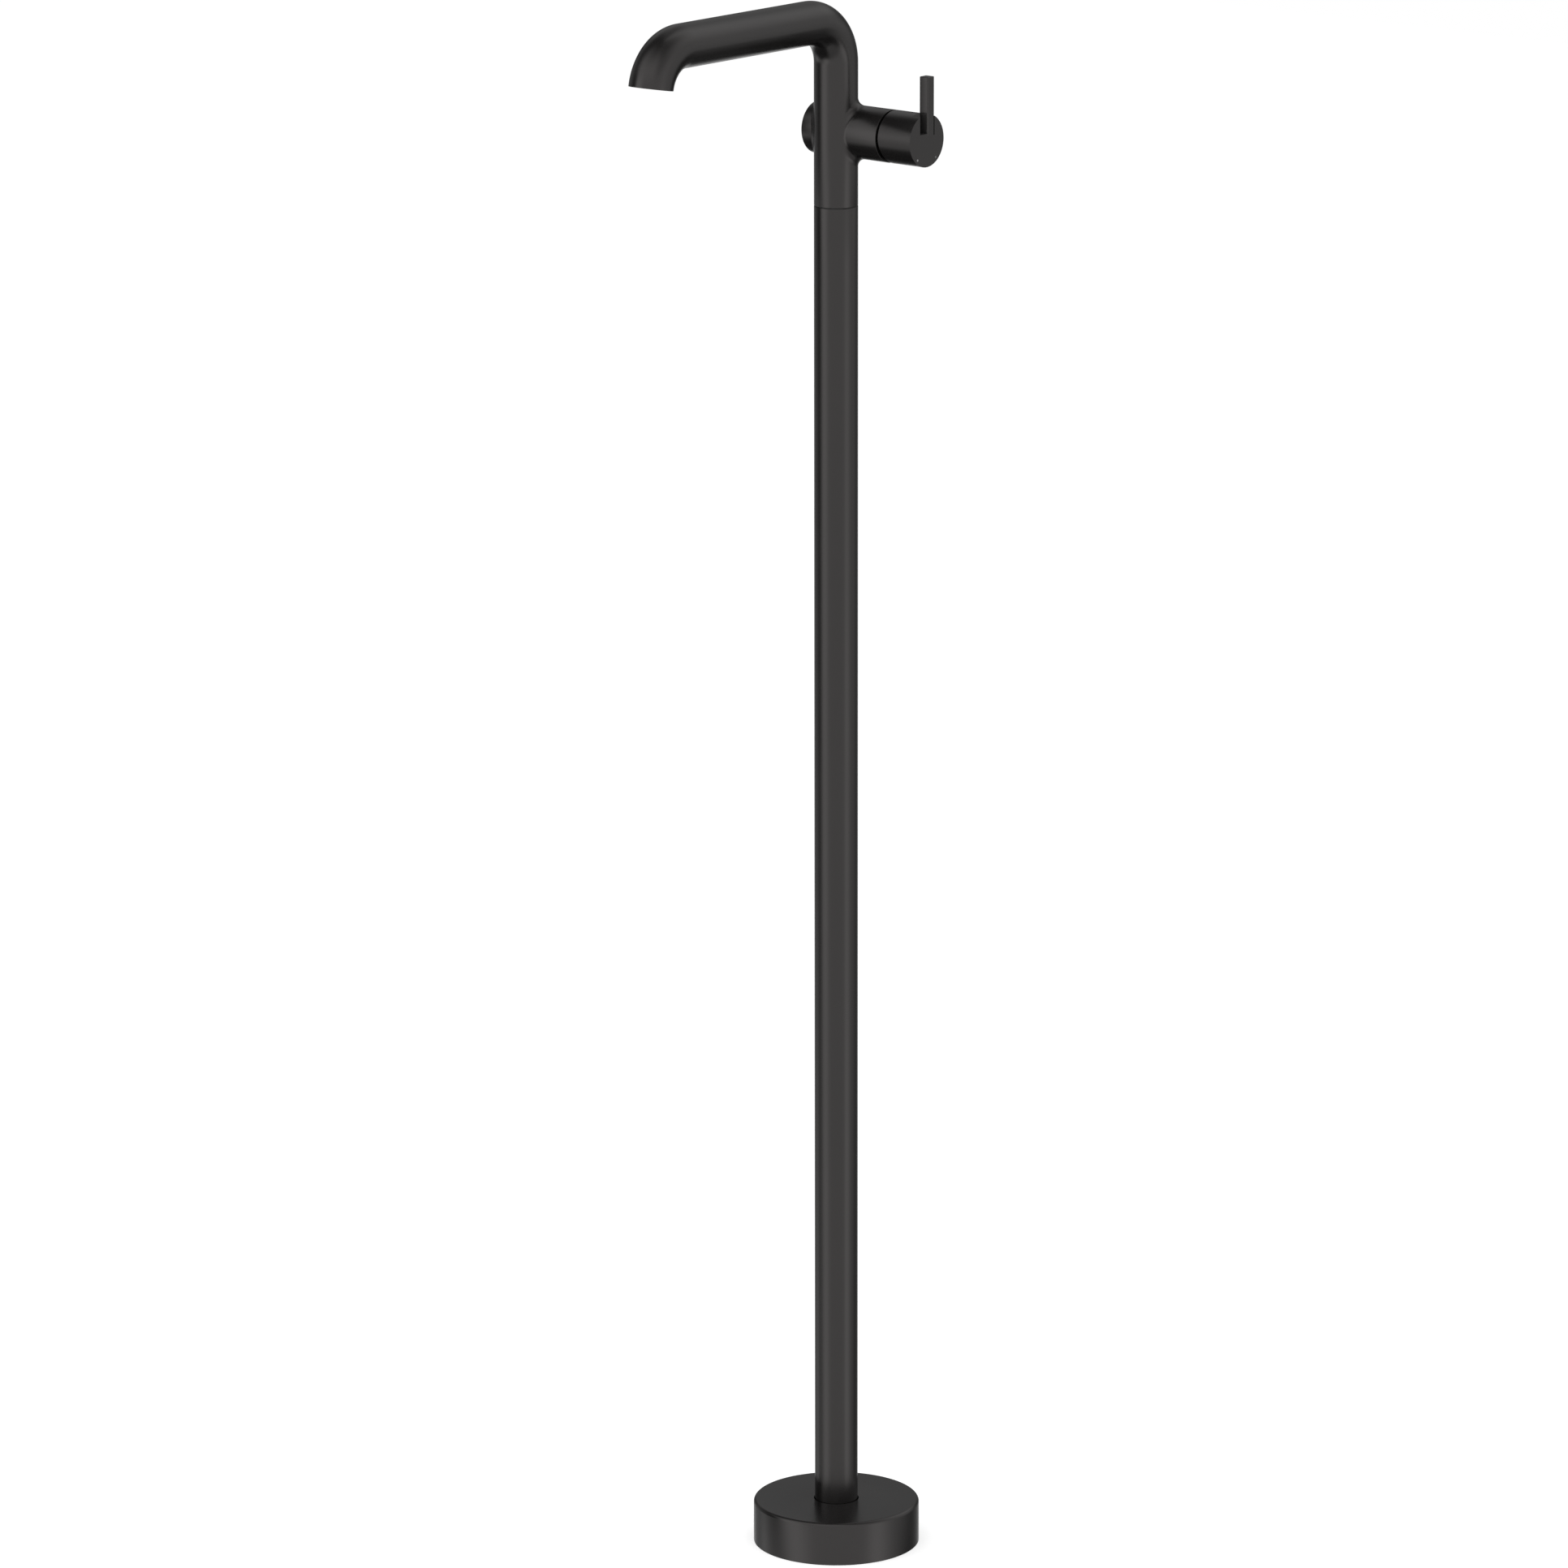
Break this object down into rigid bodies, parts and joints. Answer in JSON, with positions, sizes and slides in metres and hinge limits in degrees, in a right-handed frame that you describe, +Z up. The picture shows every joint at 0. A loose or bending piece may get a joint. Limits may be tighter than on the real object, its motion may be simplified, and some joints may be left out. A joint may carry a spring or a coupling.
{
  "type": "floor-standing mixer tap",
  "caption": "Matte black floor-standing mixer tap on a round cover, with a cross barrel, one-piece arched spout and a side handle that turns for temperature and tilts for flow.",
  "frame": {"origin": "on the floor, at the axis of the column", "axes": "+Z up along the column, +X towards the handle, -Y towards the spout's outlet"},
  "size_m": [0.129, 0.2622, 1.0916],
  "materials": {
    "matte_black": "matte powder coat",
    "zinc_steel": "zinc plated",
    "plain_brass": "machined",
    "black_rubber": "soft",
    "red_hose": "satin",
    "blue_hose": "satin",
    "clear_hose": "satin",
    "grey_plastic": "moulded",
    "white_plastic": "moulded",
    "white_ceramic": "lapped ceramic",
    "pale_mark": "matte paint",
    "dark_mark": "matte paint"
  },
  "bodies": {
    "base": {"floor_plate": "zinc_steel", "column_socket": "zinc_steel", "socket_screws": "zinc_steel", "column_set_screws": "zinc_steel", "base_cover": "matte_black", "cover_ring": "black_rubber", "column_tube": "matte_black", "hot_inlet": "plain_brass", "cold_inlet": "plain_brass", "hot_hose": "red_hose", "cold_hose": "blue_hose", "head_spigot": "plain_brass", "spigot_screw": "zinc_steel", "upper_body": "matte_black", "back_cap": "matte_black", "back_cap_seal": "black_rubber", "outlet_pipe": "clear_hose", "outlet_adapter": "plain_brass", "aerator_seal": "black_rubber", "aerator_housing": "grey_plastic", "aerator_insert": "grey_plastic", "cartridge_housing": "white_plastic", "port_seals": "black_rubber", "fixed_disc": "white_ceramic", "retaining_nut": "plain_brass"},
    "mixer": {"rotor": "white_plastic", "pivot_pin": "zinc_steel"},
    "disc": {"moving_disc": "white_ceramic", "disc_carrier": "grey_plastic"},
    "handle_group": {"stem": "plain_brass", "handle": "matte_black", "handle_set_screw": "zinc_steel", "lever": "matte_black", "lever_screw": "zinc_steel", "hot_mark": "pale_mark", "cold_mark": "dark_mark"}
  },
  "joints": [
    {"name": "temperature_turn", "type": "hinge", "parent": "base", "child": "mixer", "pos_m": [0.028, 0.01, 0.9995], "axis": [1, 0, 0], "range_deg": [-45, 45]},
    {"name": "flow_tilt", "type": "hinge", "parent": "mixer", "child": "handle_group", "pos_m": [0.028, 0.01, 0.9995], "axis": [0, 1, 0], "range_deg": [0, 11]},
    {"name": "disc_slide", "type": "slide", "parent": "mixer", "child": "disc", "axis": [0, 0, 1], "range_m": [0, 0.0013]}
  ],
  "couplings": [
    {"joint": "disc_slide", "follows": "flow_tilt", "m_per_rad": 0.00645}
  ]
}
